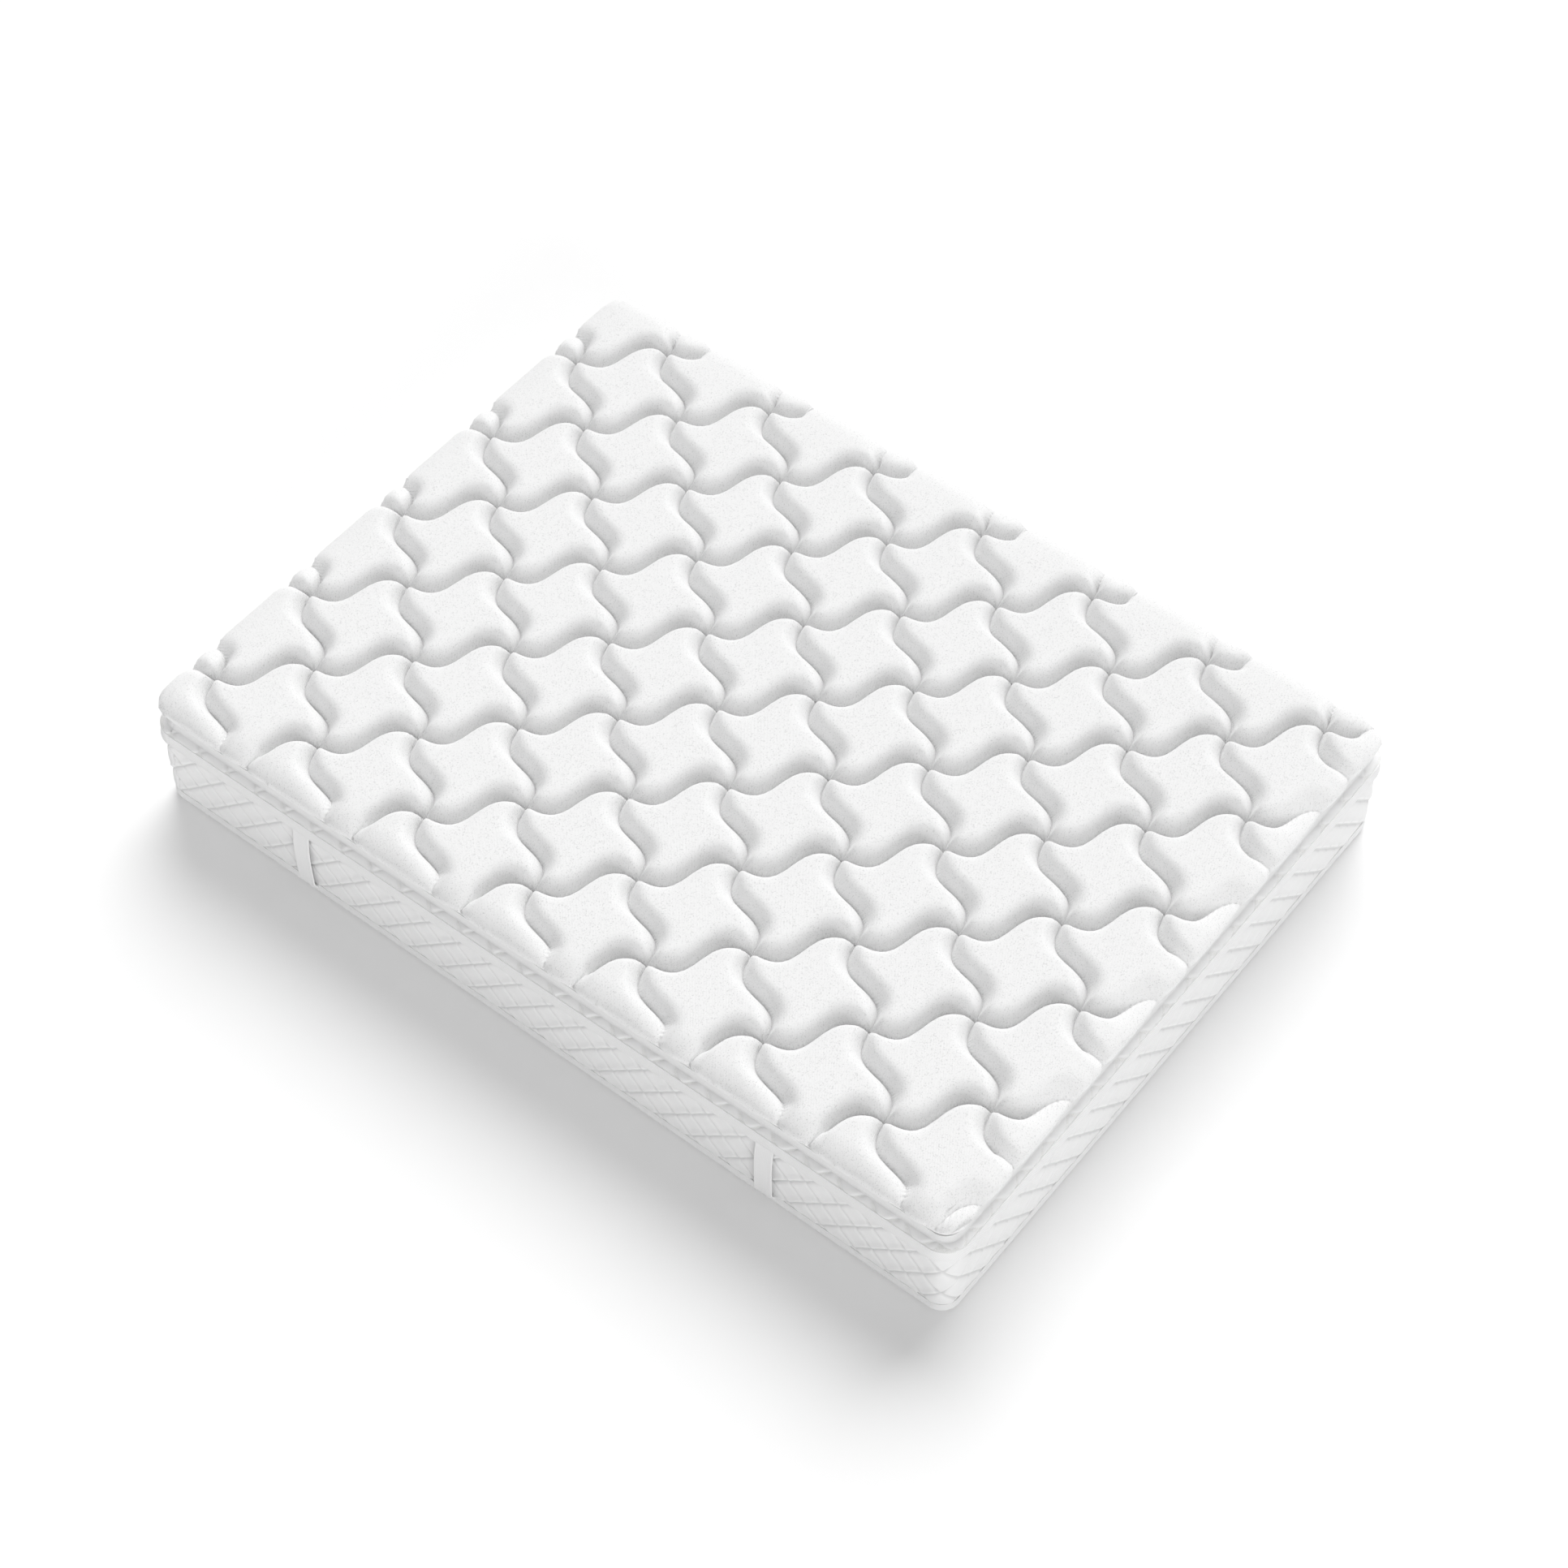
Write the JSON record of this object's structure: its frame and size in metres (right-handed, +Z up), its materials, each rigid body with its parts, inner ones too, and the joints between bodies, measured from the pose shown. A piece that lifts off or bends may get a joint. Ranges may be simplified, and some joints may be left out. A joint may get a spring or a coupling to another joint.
{
  "type": "memory foam mattress",
  "caption": "Rectangular memory foam mattress with a puffed quilted top, a padded gusset between two tapes, a diamond-quilted border and upright webbing handles.",
  "frame": {"origin": "centre of the underside, on the surface the mattress rests on", "axes": "+Z up through the mattress's thickness, +Y along its length towards the head end, +X across its width"},
  "size_m": [1.419, 1.914, 0.3],
  "materials": {
    "knit_ticking": "matte knitted ticking, white",
    "quilted_border_cloth": "matte woven ticking, white, diamond quilted",
    "ribbed_tape": "satin ribbed tape, white",
    "handle_webbing": "matte woven webbing, white",
    "base_cloth": "matte woven base cloth, white",
    "fibre_wadding": "matte lofty polyester fibre, white",
    "nonwoven_scrim": "matte spun-bonded non-woven, white",
    "sleeve_knit": "matte plain knit, off-white",
    "memory_foam": "matte open-cell visco-elastic foam, cream",
    "transition_foam": "matte open-cell polyurethane foam, pale blue",
    "support_foam": "matte open-cell polyurethane foam, off-white",
    "rail_foam": "matte firm polyurethane foam, pale grey"
  },
  "bodies": {
    "mattress": {"bottom_panel": "base_cloth", "bottom_edge_tape": "ribbed_tape", "border_ticking": "quilted_border_cloth", "border_wadding": "fibre_wadding", "border_backing": "nonwoven_scrim", "lower_tape": "ribbed_tape", "upper_tape": "ribbed_tape", "gusset_ticking": "quilted_border_cloth", "gusset_wadding": "fibre_wadding", "quilt_ticking": "knit_ticking", "quilt_wadding": "fibre_wadding", "quilt_backing": "nonwoven_scrim", "foam_sleeve": "sleeve_knit", "memory_foam_layer": "memory_foam", "transition_foam_layer": "transition_foam", "base_foam_core": "support_foam", "rail_left": "rail_foam", "rail_right": "rail_foam", "rail_head": "rail_foam", "rail_foot": "rail_foam", "handle_left_head_ends": "handle_webbing", "handle_left_foot_ends": "handle_webbing", "handle_right_head_ends": "handle_webbing", "handle_right_foot_ends": "handle_webbing"},
    "handle_left_head": {"handle_left_head": "handle_webbing"},
    "handle_left_foot": {"handle_left_foot": "handle_webbing"},
    "handle_right_head": {"handle_right_head": "handle_webbing"},
    "handle_right_foot": {"handle_right_foot": "handle_webbing"}
  },
  "joints": [
    {"name": "handle_left_head_pull", "type": "slide", "parent": "mattress", "child": "handle_left_head", "axis": [-1, 0, 0], "range_m": [0, 0.025]},
    {"name": "handle_left_foot_pull", "type": "slide", "parent": "mattress", "child": "handle_left_foot", "axis": [-1, 0, 0], "range_m": [0, 0.025]},
    {"name": "handle_right_head_pull", "type": "slide", "parent": "mattress", "child": "handle_right_head", "axis": [1, 0, 0], "range_m": [0, 0.025]},
    {"name": "handle_right_foot_pull", "type": "slide", "parent": "mattress", "child": "handle_right_foot", "axis": [1, 0, 0], "range_m": [0, 0.025]}
  ]
}
